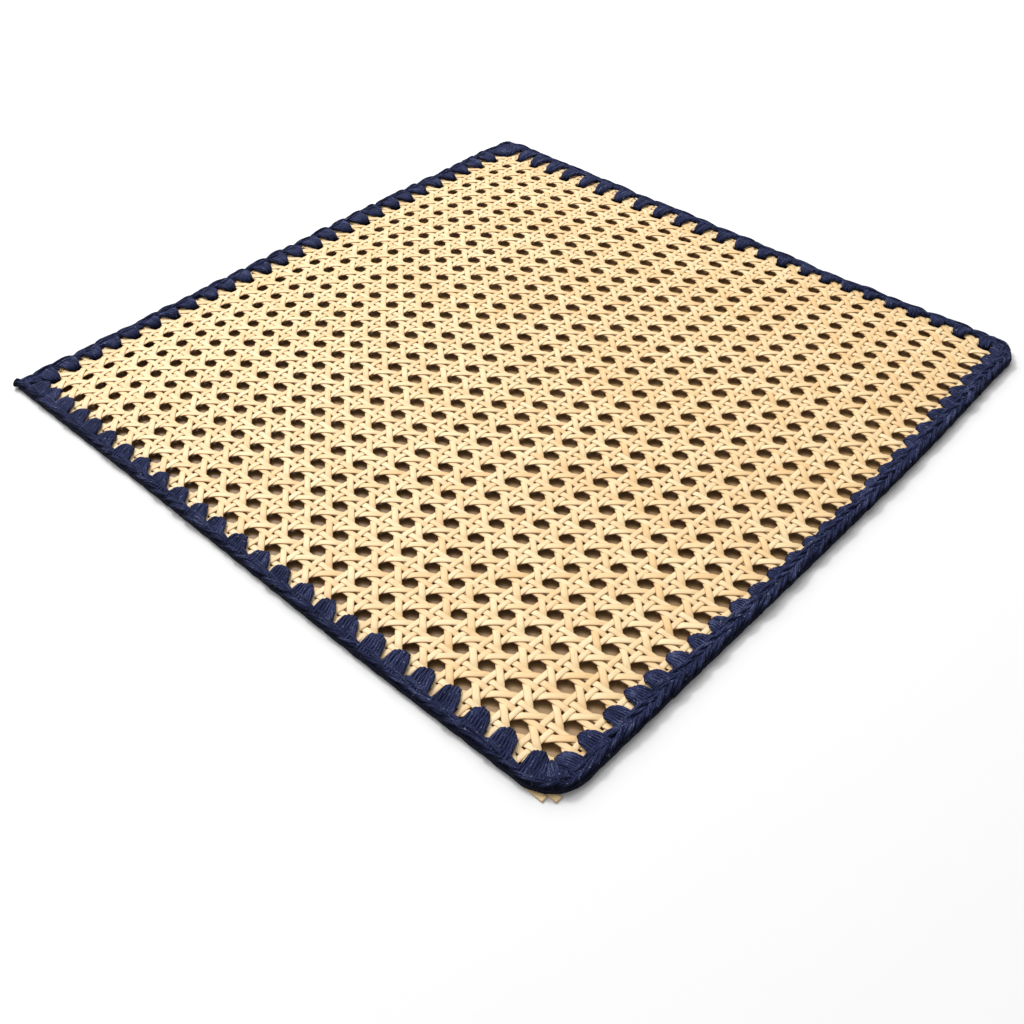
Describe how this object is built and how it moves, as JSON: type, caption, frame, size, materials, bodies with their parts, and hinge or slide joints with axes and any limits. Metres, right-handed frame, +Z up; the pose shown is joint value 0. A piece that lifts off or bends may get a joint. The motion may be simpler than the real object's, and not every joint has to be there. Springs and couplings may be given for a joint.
{
  "type": "bamboo placemat",
  "caption": "Square open-weave cane table mat with a crocheted yarn edging, laid flat to protect a table under a plate.",
  "frame": {"origin": "middle of the mat's bounding box, on the surface that it lies on", "axes": "+Z up, +X along the woven rows of eyes, +Y across them"},
  "size_m": [0.3708, 0.3704, 0.0058],
  "materials": {
    "cane": "natural split cane, lightly glossy",
    "yarn": "navy plied cotton yarn, matt"
  },
  "bodies": {
    "root": {"cane_panel": "cane", "crochet_border": "yarn"}
  },
  "joints": []
}
